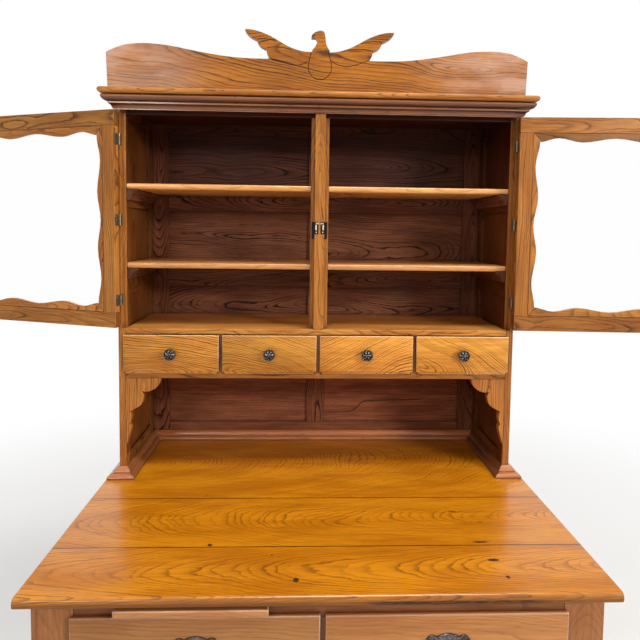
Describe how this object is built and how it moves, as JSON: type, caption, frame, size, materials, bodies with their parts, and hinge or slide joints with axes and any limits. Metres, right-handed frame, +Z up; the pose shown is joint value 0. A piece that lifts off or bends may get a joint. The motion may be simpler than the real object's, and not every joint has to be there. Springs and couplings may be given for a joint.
{
  "type": "baker's cabinet",
  "caption": "Wooden baker's cabinet: glazed hutch with serpentine-edged doors, small drawers and an eagle crest, on a deep base with bread board, drawers and round-bottomed flour bins",
  "frame": {"origin": "on the floor under the middle of the object's footprint, the doors standing open as in the picture", "axes": "+X to the viewer's right along the cabinet's front, +Y to the back, so the front faces -Y, +Z up"},
  "size_m": [2.1032, 0.82, 1.9835],
  "materials": {
    "oak": "honey-stained oak, satin varnish",
    "oak_front": "golden oak, satin varnish",
    "oak_top": "orange-stained oak, semi-gloss varnish",
    "oak_inside": "dark stained wood, thin varnish",
    "brass": "aged brass",
    "pewter": "pressed metal darkened to pewter grey",
    "nickel": "dull nickel plate",
    "glass": "clear window glass"
  },
  "bodies": {
    "cabinet": {"base_moulding": "oak", "bracket_left": "oak", "bracket_right": "oak", "bread_tray": "oak_inside", "case_back": "oak", "case_partition": "oak_inside", "case_side_left": "oak", "case_side_right": "oak", "catch_left": "nickel", "catch_right": "nickel", "cleat_lower_left": "oak_inside", "cleat_lower_right": "oak_inside", "cleat_upper_left": "oak_inside", "cleat_upper_right": "oak_inside", "cornice_ledge": "oak", "cornice_moulding": "oak", "crest_board": "oak", "deck": "oak", "drawer_floor": "oak", "dust_board": "oak_inside", "face_frame": "oak", "hinge_bottom_left": "brass", "hinge_bottom_right": "brass", "hinge_middle_left": "brass", "hinge_middle_right": "brass", "hinge_top_left": "brass", "hinge_top_right": "brass", "hutch_back": "oak_inside", "hutch_side_left": "oak", "hutch_side_right": "oak", "hutch_top_board": "oak_inside", "hutch_top_rail": "oak", "mullion": "oak", "shelf_lower": "oak", "shelf_upper": "oak", "worktop": "oak_top"},
    "door_left": {"door_left_frame": "oak", "door_left_fillet": "oak", "door_left_glass": "glass"},
    "large_drawer_left": {"drawer_left": "oak_front", "pull_plate_left": "pewter"},
    "bail_left": {"pull_bail_left": "pewter"},
    "flour_bin_left": {"bin_left": "oak_front"},
    "door_right": {"door_right_frame": "oak", "door_right_fillet": "oak", "door_right_glass": "glass"},
    "large_drawer_right": {"drawer_right": "oak_front", "pull_plate_right": "pewter"},
    "bail_right": {"pull_bail_right": "pewter"},
    "flour_bin_right": {"bin_right": "oak_front"},
    "spice_drawer_1": {"small_drawer_1": "oak_front", "small_knob_1": "pewter"},
    "spice_drawer_2": {"small_drawer_2": "oak_front", "small_knob_2": "pewter"},
    "spice_drawer_3": {"small_drawer_3": "oak_front", "small_knob_3": "pewter"},
    "spice_drawer_4": {"small_drawer_4": "oak_front", "small_knob_4": "pewter"},
    "bread_slide": {"bread_board": "oak_front"}
  },
  "joints": [
    {"name": "door_left_hinge", "type": "hinge", "parent": "cabinet", "child": "door_left", "pos_m": [-0.5496, 0.1095, 1.476], "axis": [0, 0, -1], "range_deg": [-198.9, 6.1]},
    {"name": "door_right_hinge", "type": "hinge", "parent": "cabinet", "child": "door_right", "pos_m": [0.5294, 0.1095, 1.476], "axis": [0, 0, 1], "range_deg": [-176.4, 28.6]},
    {"name": "spice_drawer_1_slide", "type": "slide", "parent": "cabinet", "child": "spice_drawer_1", "axis": [0, -1, 0], "range_m": [0, 0.19]},
    {"name": "spice_drawer_2_slide", "type": "slide", "parent": "cabinet", "child": "spice_drawer_2", "axis": [0, -1, 0], "range_m": [0, 0.19]},
    {"name": "spice_drawer_3_slide", "type": "slide", "parent": "cabinet", "child": "spice_drawer_3", "axis": [0, -1, 0], "range_m": [0, 0.19]},
    {"name": "spice_drawer_4_slide", "type": "slide", "parent": "cabinet", "child": "spice_drawer_4", "axis": [0, -1, 0], "range_m": [0, 0.19]},
    {"name": "large_drawer_left_slide", "type": "slide", "parent": "cabinet", "child": "large_drawer_left", "axis": [0, -1, 0], "range_m": [0, 0.34]},
    {"name": "bail_left_swing", "type": "hinge", "parent": "large_drawer_left", "child": "bail_left", "pos_m": [-0.25325, -0.3943, 0.652], "axis": [-1, 0, 0], "range_deg": [0, 100]},
    {"name": "flour_bin_left_slide", "type": "slide", "parent": "cabinet", "child": "flour_bin_left", "axis": [0, -1, 0], "range_m": [0, 0.3]},
    {"name": "large_drawer_right_slide", "type": "slide", "parent": "cabinet", "child": "large_drawer_right", "axis": [0, -1, 0], "range_m": [0, 0.34]},
    {"name": "bail_right_swing", "type": "hinge", "parent": "large_drawer_right", "child": "bail_right", "pos_m": [0.23305, -0.3943, 0.652], "axis": [-1, 0, 0], "range_deg": [0, 100]},
    {"name": "flour_bin_right_slide", "type": "slide", "parent": "cabinet", "child": "flour_bin_right", "axis": [0, -1, 0], "range_m": [0, 0.3]},
    {"name": "bread_board_slide", "type": "slide", "parent": "cabinet", "child": "bread_slide", "axis": [0, -1, 0], "range_m": [0, 0.33]}
  ]
}
